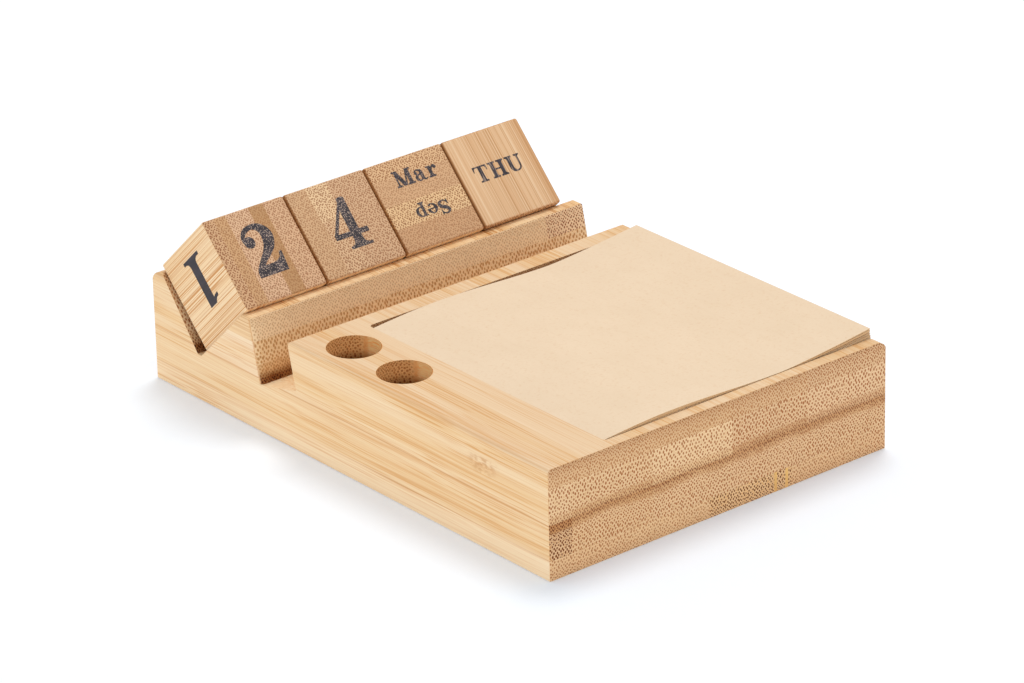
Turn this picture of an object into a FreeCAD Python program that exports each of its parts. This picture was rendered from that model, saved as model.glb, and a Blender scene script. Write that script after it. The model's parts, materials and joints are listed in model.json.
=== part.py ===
import FreeCAD, Part
import math
import os

# A desk organiser cut from one block of laminated bamboo. From front to back it has a
# platform with two pen holes and a memo recess that is open at the right, a slot that
# leans back and holds a phone, a rail, and a V groove that holds four calendar cubes.
# Millimetres. +Z is up, the front faces -Y, and the origin is at the middle of the base.

# ---- Memo sheets, and the recess that they lie in -------------------------------------
sheet_width = 74.25           # along X
sheet_depth = 75.0            # along Y
sheet_side_clearance = 0.35   # sheets to the recess's left wall
sheet_front_clearance = 0.65  # sheets to the front lip
sheet_back_clearance = 1.15   # sheets to the recess's back wall
sheet_right_inset = 1.35      # the block's right side to the sheets' edge
front_lip_width = 3.1
pen_wall_width = 17.5         # left of the recess
recess_corner_radius = 1.0
stack_height = 11.35          # of the lower sheets, where they lie flat
loose_sheet_count = 4
loose_sheet_thickness = 0.15
loose_sheet_gap = 0.1
wave_start_rise = 0.1         # the sheets' height over their flat part at the left edge
wave_crest_rise = 0.85
wave_crest_at = 0.25          # as a share of the sheet's width
wave_trough_rise = 0.2
wave_trough_at = 0.66
stack_curl_rise = 1.85        # at the right edge
curl_rise_step = 0.15         # how much more each loose sheet curls than the one below
curl_power = 1.3
wave_segments = 24

# ---- Block height and plies, from the top down. The bottom ply takes what is left -----
block_height = 25.0           # at the platform
rail_rise = 0.65              # the rail's top over the platform's
rear_rise = 1.1               # the top behind the groove over the platform's
top_ply_thickness = 4.5
upper_core_thickness = 8.0
lower_core_thickness = 8.0

# ---- Rounded edges of the block -------------------------------------------------------
lip_right_radius = 2.4        # top edge at the right end of the front lip
right_edge_radius = 0.4       # the same edge behind the recess
left_edge_radius = 0.8        # long top edge at the left
back_edge_radius = 3.6        # top edge at the back
front_edge_radius = 0.4       # top edge at the front
upright_edge_radius = 0.4     # the block's four upright edges
rail_corner_radius = 1.3      # the rail's front left edge, which leans with the slot
platform_rear_radius = 1.3    # the platform's top edge at the slot
rail_edge_radius = 0.5        # the rail's two top edges and the groove's back one

# ---- Phone slot -----------------------------------------------------------------------
slot_strip_width = 5.95       # platform between the recess and the slot
slot_gap = 12.4               # between the slot's walls, square to them
slot_depth = 14.2             # along the slot's back wall
slot_lean = 12.7              # degrees from upright, leaning back

# ---- Calendar cubes, and the groove that holds them -----------------------------------
cube_names = ["tens_cube", "units_cube", "month_cube", "weekday_cube"]
cube_corner_radius = 0.5
cube_row_gap = 0.25           # between neighbouring cubes
cube_row_left_inset = 0.8     # the block's left side to the first cube
cube_row_right_inset = 4.55   # the last cube to the block's right side
cube_lean = 44.0              # degrees that the cubes' front faces lean back
cube_overhang = 1.7           # how far a cube stands past the rail, along the groove wall
cube_seat_clearance = 0.1     # cube to the groove's front wall
cube_back_clearance = 0.15    # cube to the groove's back lip
rail_top_width = 2.9
back_land_flat = 0.35         # behind the groove, in front of the rounded back edge
groove_relief = 0.95          # groove floor below the cubes' lowest edge
groove_floor_width = 1.3
groove_floor_radius = 0.5

# ---- Pen holes ------------------------------------------------------------------------
pen_hole_diameter = 12.0
pen_hole_depth = 18.0
pen_hole_inset = 8.4          # left side to the holes' axes
pen_hole_setback = 12.4       # the slot to the rear hole's axis
pen_hole_pitch = 17.0

# ---- Derived values -------------------------------------------------------------------
cut_margin = 1.0              # how far cutting tools run past what they cut
top = block_height            # of the platform
rail_top = top + rail_rise
rear_top = top + rear_rise
tallest = max(top, rail_top, rear_top)
top_seam = top - top_ply_thickness
upper_seam = top_seam - upper_core_thickness
lower_seam = upper_seam - lower_core_thickness

recess_floor = upper_seam     # the recess goes down to the lower core
recess_length = sheet_front_clearance + sheet_depth + sheet_back_clearance
platform_depth = front_lip_width + recess_length + slot_strip_width
block_width = pen_wall_width + sheet_side_clearance + sheet_width + sheet_right_inset

lean = math.radians(slot_lean)
slot_mouth = slot_gap / math.cos(lean)
rail_front = platform_depth + slot_mouth + rail_rise * math.tan(lean)
slot_floor_back = (
    platform_depth + slot_mouth - slot_depth * math.sin(lean),
    top - slot_depth * math.cos(lean),
)
slot_floor_front = (
    slot_floor_back[0] - slot_gap * math.cos(lean),
    slot_floor_back[1] + slot_gap * math.sin(lean),
)

cube_row_width = block_width - cube_row_left_inset - cube_row_right_inset
cube_step = (cube_row_width + cube_row_gap) / len(cube_names)
cube_edge = cube_step - cube_row_gap
tilt = math.radians(cube_lean)
down_wall = (math.cos(tilt), -math.sin(tilt))    # down the groove's front wall
up_face = (math.sin(tilt), math.cos(tilt))       # up a cube's front face
groove_front = rail_front + rail_top_width
cube_front_corner = (
    groove_front - cube_overhang * down_wall[0] + cube_seat_clearance * up_face[0],
    rail_top - cube_overhang * down_wall[1] + cube_seat_clearance * up_face[1],
)
cube_low_corner = (
    cube_front_corner[0] + cube_edge * down_wall[0],
    cube_front_corner[1] + cube_edge * down_wall[1],
)
groove_floor = cube_low_corner[1] - groove_relief
groove_floor_front = groove_front + (rail_top - groove_floor) / math.tan(tilt)
groove_back = (
    cube_low_corner[0]
    + (rear_top - cube_low_corner[1]) * math.tan(tilt)
    + cube_back_clearance
)
block_depth = groove_back + back_land_flat + back_edge_radius
left = -block_width / 2
front = -block_depth / 2


def rounded_face(corners, place):
    """A flat face from (u, v, radius) corners. place turns u, v into a point in space."""
    points = [FreeCAD.Vector(u, v, 0) for u, v, _ in corners]
    starts, middles, ends = [], [], []
    for i, (point, (_, _, radius)) in enumerate(zip(points, corners)):
        back = (points[i - 1] - point).normalize()
        ahead = (points[(i + 1) % len(points)] - point).normalize()
        half = back.getAngle(ahead) / 2
        inward = (back + ahead).normalize()
        starts.append(point + back * (radius / math.tan(half)))
        ends.append(point + ahead * (radius / math.tan(half)))
        middles.append(point + inward * (radius / math.sin(half) - radius))
    edges = []
    for i, (_, _, radius) in enumerate(corners):
        if radius > 0:
            arc = [place(p.x, p.y) for p in (starts[i], middles[i], ends[i])]
            edges.append(Part.Arc(*arc).toShape())
        following = starts[(i + 1) % len(starts)]
        run = [place(p.x, p.y) for p in (ends[i], following)]
        edges.append(Part.LineSegment(*run).toShape())
    return Part.Face(Part.Wire(edges))


def box(x, y, z):
    """A box from (low, high) pairs."""
    corner = FreeCAD.Vector(x[0], y[0], z[0])
    return Part.makeBox(x[1] - x[0], y[1] - y[0], z[1] - z[0], corner)


def block_blank():
    """The block with its slot and groove, before its long edges, recess and holes."""
    side = [
        (0, 0, 0),
        (block_depth, 0, 0),
        (block_depth, rear_top, back_edge_radius),
        (groove_back, rear_top, rail_edge_radius),
        (groove_floor_front + groove_floor_width, groove_floor, groove_floor_radius),
        (groove_floor_front, groove_floor, groove_floor_radius),
        (groove_front, rail_top, rail_edge_radius),
        (rail_front, rail_top, rail_edge_radius),
        (*slot_floor_back, 0),
        (*slot_floor_front, 0),
        (platform_depth, top, platform_rear_radius),
        (0, top, front_edge_radius),
    ]
    plan = [
        (0, 0, upright_edge_radius),
        (block_width, 0, upright_edge_radius),
        (block_width, block_depth, upright_edge_radius),
        (0, block_depth, upright_edge_radius),
    ]
    along_x = rounded_face(side, lambda y, z: FreeCAD.Vector(left, front + y, z))
    along_z = rounded_face(plan, lambda x, y: FreeCAD.Vector(left + x, front + y, 0))
    blank = along_x.extrude(FreeCAD.Vector(block_width, 0, 0))
    return blank.common(along_z.extrude(FreeCAD.Vector(0, 0, tallest)))


def end_bar(near, far, height, right_radius):
    """A bar along Y that is as wide as the block and has its two long top edges rounded."""
    end = [
        (0, 0, 0),
        (block_width, 0, 0),
        (block_width, height, right_radius),
        (0, height, left_edge_radius),
    ]
    face = rounded_face(end, lambda x, z: FreeCAD.Vector(left + x, near, z))
    return face.extrude(FreeCAD.Vector(0, far - near, 0))


def recess_tool():
    """What is cut for the memo sheets. It runs out through the block's right side."""
    open_side = block_width + cut_margin
    back_wall = front_lip_width + recess_length
    outline = [
        (pen_wall_width, front_lip_width, recess_corner_radius),
        (open_side, front_lip_width, 0),
        (open_side, back_wall, 0),
        (pen_wall_width, back_wall, recess_corner_radius),
    ]
    face = rounded_face(
        outline, lambda x, y: FreeCAD.Vector(left + x, front + y, recess_floor)
    )
    return face.extrude(FreeCAD.Vector(0, 0, top - recess_floor + cut_margin))


def pen_hole_tools():
    base = top - pen_hole_depth
    rear_hole = platform_depth - pen_hole_setback
    for y in (rear_hole - pen_hole_pitch, rear_hole):
        centre = FreeCAD.Vector(left + pen_hole_inset, front + y, base)
        yield Part.makeCylinder(pen_hole_diameter / 2, pen_hole_depth + cut_margin, centre)


def rail_corner_tool():
    """What is cut off the rail's front left edge to round it. It leans with the slot."""
    side = 2 * rail_corner_radius
    foot_y, foot_z = front + slot_floor_back[0], slot_floor_back[1]
    square, rounded = [
        rounded_face(
            [(0, 0, radius), (side, 0, 0), (side, side, 0), (0, side, 0)],
            lambda x, y: FreeCAD.Vector(left + x, foot_y + y, foot_z),
        )
        for radius in (0, rail_corner_radius)
    ]
    rise = rear_top - foot_z
    return square.cut(rounded).extrude(FreeCAD.Vector(0, rise * math.tan(lean), rise))


def plies():
    """The block's pieces: two whole lower plies, and two upper ones in three lengths."""
    block = block_blank().cut(recess_tool()).cut(rail_corner_tool())
    for tool in pen_hole_tools():
        block = block.cut(tool)
    cuts = [
        front,
        front + slot_floor_back[0],
        front + groove_floor_front,
        front + block_depth,
    ]
    recess_middle = front + front_lip_width + recess_length / 2
    lip_bar = end_bar(cuts[0], recess_middle, top, lip_right_radius)
    strip_bar = end_bar(recess_middle, cuts[1], top, right_edge_radius)
    sections = {
        "platform": lip_bar.fuse(strip_bar).removeSplitter(),
        "rail": end_bar(cuts[1], cuts[2], rail_top, right_edge_radius),
        "rear": end_bar(cuts[2], cuts[3], rear_top, right_edge_radius),
    }
    width = (left, left + block_width)
    whole = (cuts[0], cuts[3])
    pieces = {
        "bottom_ply": block.common(box(width, whole, (0, lower_seam))),
        "lower_core_ply": block.common(box(width, whole, (lower_seam, upper_seam))),
    }
    layers = {"upper_core": (upper_seam, top_seam), "top_ply": (top_seam, tallest)}
    for layer, heights in layers.items():
        slab = block.common(box(width, whole, heights))
        for section, bar in sections.items():
            pieces[f"{layer}_{section}"] = slab.common(bar)
    return pieces


def cubes():
    """The calendar cubes, side by side in the groove and leaning on its front wall."""
    made = {}
    for i, name in enumerate(cube_names):
        cube = Part.makeBox(cube_edge, cube_edge, cube_edge)
        cube = cube.makeFillet(cube_corner_radius, cube.Edges)
        cube.rotate(FreeCAD.Vector(0, 0, 0), FreeCAD.Vector(1, 0, 0), -cube_lean)
        x = left + cube_row_left_inset + i * cube_step
        y, z = cube_front_corner
        cube.translate(FreeCAD.Vector(x, front + y, z))
        made[name] = cube
    return made


def wave(share, curl_rise):
    """How far a sheet rises over its flat part, at a share of its width from the left."""
    if share < wave_crest_at:
        climb = math.sin(math.pi / 2 * share / wave_crest_at)
        return wave_start_rise + (wave_crest_rise - wave_start_rise) * climb
    if share < wave_trough_at:
        way = (share - wave_crest_at) / (wave_trough_at - wave_crest_at)
        fall = (wave_crest_rise - wave_trough_rise) * (1 - math.cos(math.pi * way)) / 2
        return wave_crest_rise - fall
    way = (share - wave_trough_at) / (1 - wave_trough_at)
    return wave_trough_rise + (curl_rise - wave_trough_rise) * way**curl_power


def waved_line(base, curl_rise):
    """The (x, z) points of a sheet's surface whose flat part is at the height base."""
    shares = [i / wave_segments for i in range(wave_segments + 1)]
    return [(share * sheet_width, base + wave(share, curl_rise)) for share in shares]


def paper(lower, upper):
    """A solid between two lines of (x, z) points, as deep as a sheet."""
    start = left + pen_wall_width + sheet_side_clearance
    near = front + front_lip_width + sheet_front_clearance
    outline = [(x, z, 0) for x, z in lower + upper[::-1]]
    face = rounded_face(outline, lambda x, z: FreeCAD.Vector(start + x, near, z))
    return face.extrude(FreeCAD.Vector(0, sheet_depth, 0))


def memo_sheets():
    """The lower sheets as one stack, and the loose, more curled ones that lie on it."""
    height = recess_floor + stack_height
    flat = [(0, recess_floor), (sheet_width, recess_floor)]
    made = {"memo_stack": paper(flat, waved_line(height, stack_curl_rise))}
    for number in range(1, loose_sheet_count + 1):
        curl_rise = stack_curl_rise + number * curl_rise_step
        height += loose_sheet_gap
        lower = waved_line(height, curl_rise)
        height += loose_sheet_thickness
        upper = waved_line(height, curl_rise)
        made[f"memo_sheet_{number}"] = paper(lower, upper)
    return made


os.makedirs("parts", exist_ok=True)
for name, shape in {**plies(), **cubes(), **memo_sheets()}.items():
    solids = shape.Solids
    shape = solids[0] if len(solids) == 1 else shape
    shape.exportStep(os.path.join("parts", name + ".step"))
    span = shape.BoundBox
    print(
        f"{name}: {len(solids)} solid, {shape.Volume:.1f} mm3, valid {shape.isValid()}, "
        f"x {span.XMin:.2f} to {span.XMax:.2f}, y {span.YMin:.2f} to {span.YMax:.2f}, "
        f"z {span.ZMin:.2f} to {span.ZMax:.2f}"
    )
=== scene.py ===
# %% [markdown]
# # A bamboo desk organiser with four calendar cubes
#
# The real object is one block of laminated bamboo. It holds a pad of memo paper, two
# pens, a phone in a leaning slot, and four cubes that show the date. The solids and
# their joints are already made elsewhere, as a fixed frame. This lesson dresses that
# frame: it gives the wood its grain, lays the paper sheet by sheet, prints the
# letters on the cubes, and sets up a plain studio.
#
# The frame could be typed in again as Blender meshes, but then two models would have
# to agree. Loading it keeps one truth: the finishes, the paper and the print are placed
# by what it says. Lengths below are in mm where a name or a comment doesn't say otherwise,
# and MM turns them into Blender's metres.

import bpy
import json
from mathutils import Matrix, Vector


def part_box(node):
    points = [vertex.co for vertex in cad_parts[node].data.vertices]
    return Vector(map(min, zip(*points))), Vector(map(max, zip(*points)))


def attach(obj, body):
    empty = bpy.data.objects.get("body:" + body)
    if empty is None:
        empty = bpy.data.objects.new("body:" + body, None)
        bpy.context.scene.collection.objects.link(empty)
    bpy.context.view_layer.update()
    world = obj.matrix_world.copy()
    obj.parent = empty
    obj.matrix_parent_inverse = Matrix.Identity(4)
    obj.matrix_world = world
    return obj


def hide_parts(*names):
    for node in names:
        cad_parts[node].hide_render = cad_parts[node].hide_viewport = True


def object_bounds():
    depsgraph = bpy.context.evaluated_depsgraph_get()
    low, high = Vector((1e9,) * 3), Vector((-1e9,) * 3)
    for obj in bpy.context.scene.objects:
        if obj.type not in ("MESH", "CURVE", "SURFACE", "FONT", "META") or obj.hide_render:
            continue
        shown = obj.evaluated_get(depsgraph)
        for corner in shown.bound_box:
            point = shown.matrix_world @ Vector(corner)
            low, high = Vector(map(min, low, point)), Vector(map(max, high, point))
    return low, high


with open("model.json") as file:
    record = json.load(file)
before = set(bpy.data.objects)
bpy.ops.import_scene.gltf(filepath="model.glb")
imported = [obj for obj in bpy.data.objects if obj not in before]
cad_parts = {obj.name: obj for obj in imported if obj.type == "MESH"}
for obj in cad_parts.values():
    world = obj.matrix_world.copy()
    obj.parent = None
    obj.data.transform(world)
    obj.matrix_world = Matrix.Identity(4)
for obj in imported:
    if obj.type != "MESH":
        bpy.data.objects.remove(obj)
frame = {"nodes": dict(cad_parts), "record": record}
cad_box = [list(corner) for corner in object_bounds()]
nodes = frame["nodes"]
print(len(nodes), "solids, from", cad_box[0], "to", cad_box[1])

# %% Other modules, and the sizes that the lesson shares
import json
import math
import random
from types import SimpleNamespace

import bpy
from mathutils import Euler, Vector
from mathutils.geometry import delaunay_2d_cdt

MM = 0.001
block_size = [(high - low) / MM for low, high in zip(*cad_box)]
print("the whole is", " x ".join(f"{side:.1f}" for side in block_size), "mm")

# %% [markdown]
# ## Camera
#
# A product camera stands well back with a long lens, so that the block's upright
# edges stay nearly parallel. A wide lens close by would show the same faces, but it
# would swell the front corner. The long lens is the honest choice for a part that
# people will measure by eye.

# %% Camera
camera_data = bpy.data.cameras.new("camera")
camera_data.lens = 186.4
camera_data.sensor_width = 36.0
camera_data.sensor_fit = "HORIZONTAL"
camera_data.clip_start = 0.05
camera = bpy.data.objects.new("camera", camera_data)
camera.location = (-0.659105, -0.80326, 0.48910)
camera.rotation_euler = Euler([math.radians(a) for a in (65.5429, 1.1813, -39.8916)])
bpy.context.scene.collection.objects.link(camera)
bpy.context.scene.camera = camera
print("camera stands", round(camera.location.length, 3), "m from the base")

# %% [markdown]
# ## Shader sums, written as Python
#
# A material in Blender is a graph of nodes. Wiring one by hand takes three lines for
# each sum, and the idea drowns in the plumbing. So a small class wraps one output of
# a node, and its operators add the Math nodes that do the same sum. Everything that
# isn't a sum goes through one method, `node`, which takes the node's type, its
# settings, and what goes into its sockets.

# %% Wire: one output of a shader node
class Wire:
    """One output of a shader node. A sum on it adds the Math node that does the sum."""

    def __init__(self, finish, socket):
        self.finish, self.socket = finish, socket

    def sum(self, operation, first, second=0.0):
        sockets = {0: first, 1: second}
        return self.finish.node("Math", {"operation": operation}, sockets)

    def __add__(self, other):
        return self.sum("ADD", self, other)

    def __sub__(self, other):
        return self.sum("SUBTRACT", self, other)

    def __rsub__(self, other):
        return self.sum("SUBTRACT", other, self)

    def __mul__(self, other):
        return self.sum("MULTIPLY", self, other)

    def __truediv__(self, other):
        return self.sum("DIVIDE", self, other)

    def __pow__(self, other):
        return self.sum("POWER", self, other)

    def __abs__(self):
        return self.sum("ABSOLUTE", self)

    __radd__, __rmul__ = __add__, __mul__

    def most(self, other):
        """The larger of the two."""
        return self.sum("MAXIMUM", self, other)

    def along(self, axis):
        """How far this vector reaches along an axis."""
        settings = {"operation": "DOT_PRODUCT"}
        return self.finish.node("VectorMath", settings, {0: self, 1: axis}, "Value")

    def ease(self, low, high):
        """0 below low and 1 above high, with a soft change between them."""
        settings = {"interpolation_type": "SMOOTHSTEP"}
        sockets = {"Value": self, "From Min": low, "From Max": high}
        return self.finish.node("MapRange", settings, sockets)

    def other(self, name):
        """Another output of the same node."""
        return Wire(self.finish, self.socket.node.outputs[name])


# %% Finish: one material, built from wires
def paint(red, green, blue):
    """A screen colour from 0 to 255 as the linear light that a shader wants."""
    light = [c / 255 for c in (red, green, blue)]
    return [c / 12.92 if c < 0.04045 else ((c + 0.055) / 1.055) ** 2.4 for c in light] + [1.0]


class Finish:
    """A material whose nodes are added by name."""

    def __init__(self, name):
        self.material = bpy.data.materials.new(name)
        self.material.use_nodes = True
        self.tree = self.material.node_tree
        self.shader = self.tree.nodes["Principled BSDF"]

    def node(self, kind, settings=None, sockets=None, output=0):
        made = self.tree.nodes.new("ShaderNode" + kind)
        for key, value in (settings or {}).items():
            if key == "stops":
                self.set_stops(made.color_ramp, value)
            else:
                setattr(made, key, value)
        for key, value in (sockets or {}).items():
            self.feed(made.inputs[key], value)
        return Wire(self, made.outputs[output])

    def set_stops(self, ramp, stops):
        while len(ramp.elements) > 1:
            ramp.elements.remove(ramp.elements[-1])
        for i, (position, colour) in enumerate(stops):
            stop = ramp.elements.new(position) if i else ramp.elements[0]
            stop.position, stop.color = position, colour

    def feed(self, socket, value):
        if isinstance(value, Wire):
            self.tree.links.new(value.socket, socket)
        else:
            socket.default_value = value

    def vector(self, x, y, z=0.0):
        return self.node("CombineXYZ", None, {0: x, 1: y, 2: z})

    def noise(self, vector, detail=2.0):
        sockets = {"Vector": vector, "Scale": 1.0, "Detail": detail}
        return self.node("TexNoise", None, sockets)

    def mix(self, share, first, second, blend="MIX"):
        """A colour that turns from the first to the second as share goes from 0 to 1."""
        settings = {"data_type": "RGBA", "blend_type": blend}
        return self.node("Mix", settings, {0: share, 6: first, 7: second}, 2)

    def surface(self, **sockets):
        """What reaches the shader, by socket name with _ for a space."""
        for key, value in sockets.items():
            self.feed(self.shader.inputs[key.replace("_", " ")], value)
        return self.material

    def length(self, vector):
        return self.node("VectorMath", {"operation": "LENGTH"}, {0: vector}, "Value")

    def bump(self, height, distance):
        sockets = {"Height": height, "Distance": distance, "Strength": 1.0}
        return self.node("Bump", None, sockets)


print("paint(255, 255, 255) is", paint(255, 255, 255))

# %% [markdown]
# ## Bamboo
#
# Bamboo has no rings. Its wood is full of stiff fibre bundles that run along the stem.
# Cut across, each bundle is a brown dot with a pale halo. Cut along, it is a fine
# streak. The bundles are large and wide apart inside the stem, and small, dark and
# crowded at its outside. A board is glued from strips of such wood, and each strip
# keeps its own shade.
#
# A flat picture of the dots would have to be unwrapped on every face and would not
# match at the edges. Here the bundles are modelled as what they are: columns through
# the solid. Two coordinates across the fibre place the dots, and the third is left
# out, so a face cut across them shows dots, a face along them shows streaks, and a
# slanted face shows long dots, all without a seam.

# %% Fibre bundles
def bundles(wood, across, deep, pitch, spread):
    """How far away the nearest fibre bundle's middle is. A large bundle counts as nearer.

    The bundles stand in staggered rows: turning the grid by an eighth of a turn makes
    every second row shift by half a pitch, as they grow.
    """
    column, row = across / pitch[0], deep / pitch[1]
    cells = wood.node(
        "TexVoronoi", {"voronoi_dimensions": "2D", "feature": "F1"},
        {"Vector": wood.vector(column + row, column - row), "Scale": 1.0, "Randomness": spread},
    )
    chance = wood.node("SeparateColor", None, {0: cells.other("Color")})
    return cells / (chance * 0.3 + 0.85)


def pick(wood, place, stops):
    """The colour of the lane that place falls in. The stops are (start, colour, alpha) in mm."""
    low, reach = stops[0][0], 200.0
    lanes = [
        ((start - low) / reach, paint(*colour)[:3] + [alpha]) for start, colour, alpha in stops
    ]
    ramp = wood.node("ValToRGB", {"stops": lanes}, {0: (place - low) / reach})
    ramp.socket.node.color_ramp.interpolation = "CONSTANT"
    return ramp


# %% What a board looks like, unless it says otherwise
board_look = dict(
    lane="across",                  # which way its strips lie side by side: across or deep
    outer=0.0, inner=8.0,           # where the stem's outside and inside lie, mm along deep
    band=0.7, fade=9.0,             # the dark line at the outside: its strength, how thin
    band_colour=(190, 132, 82),
    sway_by=0.6,                    # how far that line wanders, mm
    pitch=(1.12, 2.0),              # from bundle to bundle, across and deep, mm
    crowded=(0.72, 0.95),           # the same where they crowd
    crowd_from=0.0,                 # the share of the strip where they crowd
    dot=0.3, spread=0.45,           # a bundle's size, and how far it strays from its row
    dot_colour=(158, 88, 44), dark_dot=(104, 52, 24),
    halo=0.7,                       # strength of the pale ring round a bundle
    cream=(247, 219, 179), warm=(241, 204, 152), amber=(225, 170, 108),
    lines_by=0.6, crisp=0.25,       # strength of the streaks, and of the thinnest of them
    drift_by=1.6,                   # how far the fibre wanders, mm
    skin=None,                      # painted shade on the outermost wood: the share of each colour that it keeps
    seams=(),                       # glue lines, mm along deep
    knots=(),                       # nodes of the stem: across, along and deep
    burnt=(),                       # drilled holes, browned by the drill, with painted shade down the hole and painted light on its rim: x, y and radius
    singed=(),                      # painted shade low in the slot and the groove: from and to, along and deep
    rims=(),                        # cube edges beside a gap, darkened with painted shade, mm across
    patches=(),                     # other strips: from and to, across and deep, and colour
)
print("a board can differ in", ", ".join(board_look))


# %% Where a point lies in the wood
def place_in(wood, look, fibre, across, deep):
    """The wires that every face needs. All lengths are in mm."""
    place = wood.node("TexCoord", output="Object")
    facing = wood.node("TexCoord", output="Normal")
    along, a, b = (place.along(Vector(axis) / MM) for axis in (fibre, across, deep))
    drift = wood.noise(wood.vector(along * 0.022, a * 0.11, b * 0.11), 1.0) - 0.5
    ripple = wood.noise(wood.vector(a * 0.07, along * 0.01, look.outer), 1.0) - 0.5
    b_drift = b + drift * (look.drift_by / 2) + ripple * look.sway_by * 2
    out = 1 - (b_drift - look.outer) / (look.inner - look.outer)
    return SimpleNamespace(
        place=place, along=along, a=a, b=b, drift=drift,
        a_drift=a + drift * look.drift_by, b_drift=b_drift,
        out=out,                                # 0 at the stem's inside, 1 at its outside
        outside=out.ease(0.0, 1.0) ** look.fade,
        cut=abs(facing.along(fibre)),           # 1 on a face cut across the fibre
        level=abs(facing.along(deep)),          # 1 on a face that lies along the strips
    )


# %% A face cut across the fibre
slot_bottom_shade_tint = (0.42, 0.29, 0.17, 1)     # the share of each colour that the painted shade low in the slot and the groove keeps


def end_grain(wood, look, at, strips):
    """The colour of the dots and what is between them, and a wire that is 1 in a dot."""
    strip = pick(wood, at.a if look.lane == "across" else at.b, strips)
    strength = strip.other("Alpha")
    dot = look.dot
    squeeze = at.out ** 3 * (0.3 * (look.inner - look.outer))
    cells = bundles(wood, at.a_drift, at.b_drift - squeeze, look.pitch, look.spread)
    spot = 1 - cells.ease(dot * 0.5, dot * 1.35)
    ring = cells.ease(dot * 1.1, dot * 1.5) * (1 - cells.ease(dot * 1.6, dot * 2.2))
    if look.crowd_from:
        fine = bundles(wood, at.a_drift + 0.3, at.b_drift, look.crowded, look.spread)
        fine_spot = 1 - fine.ease(dot * 0.7, dot * 1.4)
        swap = (at.out + at.drift * 0.2).ease(1 - look.crowd_from, 1 - look.crowd_from * 0.5)
        spot = spot * (1 - swap) + fine_spot * swap
        ring = ring * (1 - swap)

    fog = wood.noise(wood.vector(at.a * 0.3, at.b * 0.3, at.along * 0.02 + 3.0), 2.0)
    colour = strip
    for low_a, high_a, low_b, high_b, tint in look.patches:
        inside = at.a.ease(low_a, low_a + 0.1) * at.a.ease(high_a, high_a - 0.1)
        inside = inside * at.b.ease(low_b, low_b + 0.1) * at.b.ease(high_b, high_b - 0.1)
        colour = wood.mix(inside, colour, paint(*tint))
    shade = [c * 0.88 for c in strips[0][1]]
    colour = wood.mix((fog - 0.4) * 0.6, colour, paint(*shade))
    line = at.outside * (fog * 0.6 + 0.7) * look.band
    colour = wood.mix(line, colour, paint(*look.band_colour))
    colour = wood.mix(ring * strength * look.halo, colour, paint(251, 221, 180))
    darkest = (at.out.ease(0.8, 1.0) * 0.9).most(strength.ease(0.9, 1.0))
    dots = wood.mix(darkest, paint(*look.dot_colour), paint(*look.dark_dot))
    colour = wood.mix(spot * strength, colour, dots)
    # Painted shade, darker towards the bottom of the slot and of the groove.
    for near, far, low_b, high_b in look.singed:
        ends = at.along.ease(near, near + 1) * at.along.ease(far, far - 1)
        low = at.b.ease(high_b, low_b)
        colour = wood.mix(ends * low * (fog + 0.4), colour, slot_bottom_shade_tint, "MULTIPLY")
    return colour, spot


# %% A face sawn along the fibre
def sawn_face(wood, look, at):
    """The colour of the streaks, and the fine noise that they are made from."""
    a, b, along, wander = at.a_drift, at.b_drift, at.along, look.drift_by
    wide = wood.noise(wood.vector(a * 0.22, b * 0.22, along * 0.01), 2.0)
    medium = wood.noise(wood.vector(a * 0.9, b * 0.9, along * (0.01 * wander) + 5.0), 1.0)
    thin = wood.noise(wood.vector(a * 3.2, b * 3.2, along * (0.02 * wander) + 9.0), 1.0)
    hair = wood.noise(wood.vector(a * 1.8 + 7.0, b * 1.8, along * (0.006 * wander)), 0.0)
    amber = paint(*look.amber)
    busy = look.lines_by * wide.ease(0.3, 0.62) + at.out.ease(0.5, 0.95) * (look.crowd_from * 0.7)
    colour = wood.mix(wide.ease(0.4, 0.66) * 0.8, paint(*look.cream), paint(*look.warm))
    colour = wood.mix(medium.ease(0.56, 0.68) * busy * 0.7, colour, amber)
    colour = wood.mix(thin.ease(0.54, 0.66) * busy, colour, amber)
    colour = wood.mix((1 - thin).ease(0.54, 0.7) * 0.35, colour, paint(255, 234, 200))
    thread = 1 - abs(hair - 0.5).ease(0.015, 0.07)
    colour = wood.mix(thread * (thin * 0.6 + 0.6) * look.crisp, colour, amber)
    colour = wood.mix(at.outside * look.band * 0.3, colour, amber)
    for seam in look.seams:
        line = 1 - abs(at.b - seam + at.drift * 0.8 + (thin - 0.5) * 0.4).ease(0.05, 0.22)
        line = line * at.level.ease(0.9, 0.3)
        colour = wood.mix(line * medium.ease(0.4, 0.56) * 0.6, colour, paint(206, 146, 88))
    for x, y, z in look.knots:
        away = wood.vector((at.a - x) / 2.0, (at.along - y) / 5.0, (at.b - z) / 2.8)
        near = 1 - wood.length(away).ease(0.3, 1.2)
        smudge = wood.noise(wood.vector(at.b * 1.6, at.along * 0.7, at.a), 2.0)
        colour = wood.mix(near * smudge.ease(0.35, 0.6) * 0.6, colour, paint(206, 148, 92))
    # Painted shade: the outermost wood, which on the top ply is the top face, is darkened.
    if look.skin:
        colour = wood.mix(at.out.ease(0.82, 0.93), colour, (*look.skin, 1.0), "MULTIPLY")
    return colour, thin


# %% Bamboo, as a solid
X, Y, Z = (1, 0, 0), (0, 1, 0), (0, 0, 1)
platform_top = 24.6     # where a pen hole's wall begins under its rounded edge, mm


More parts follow.
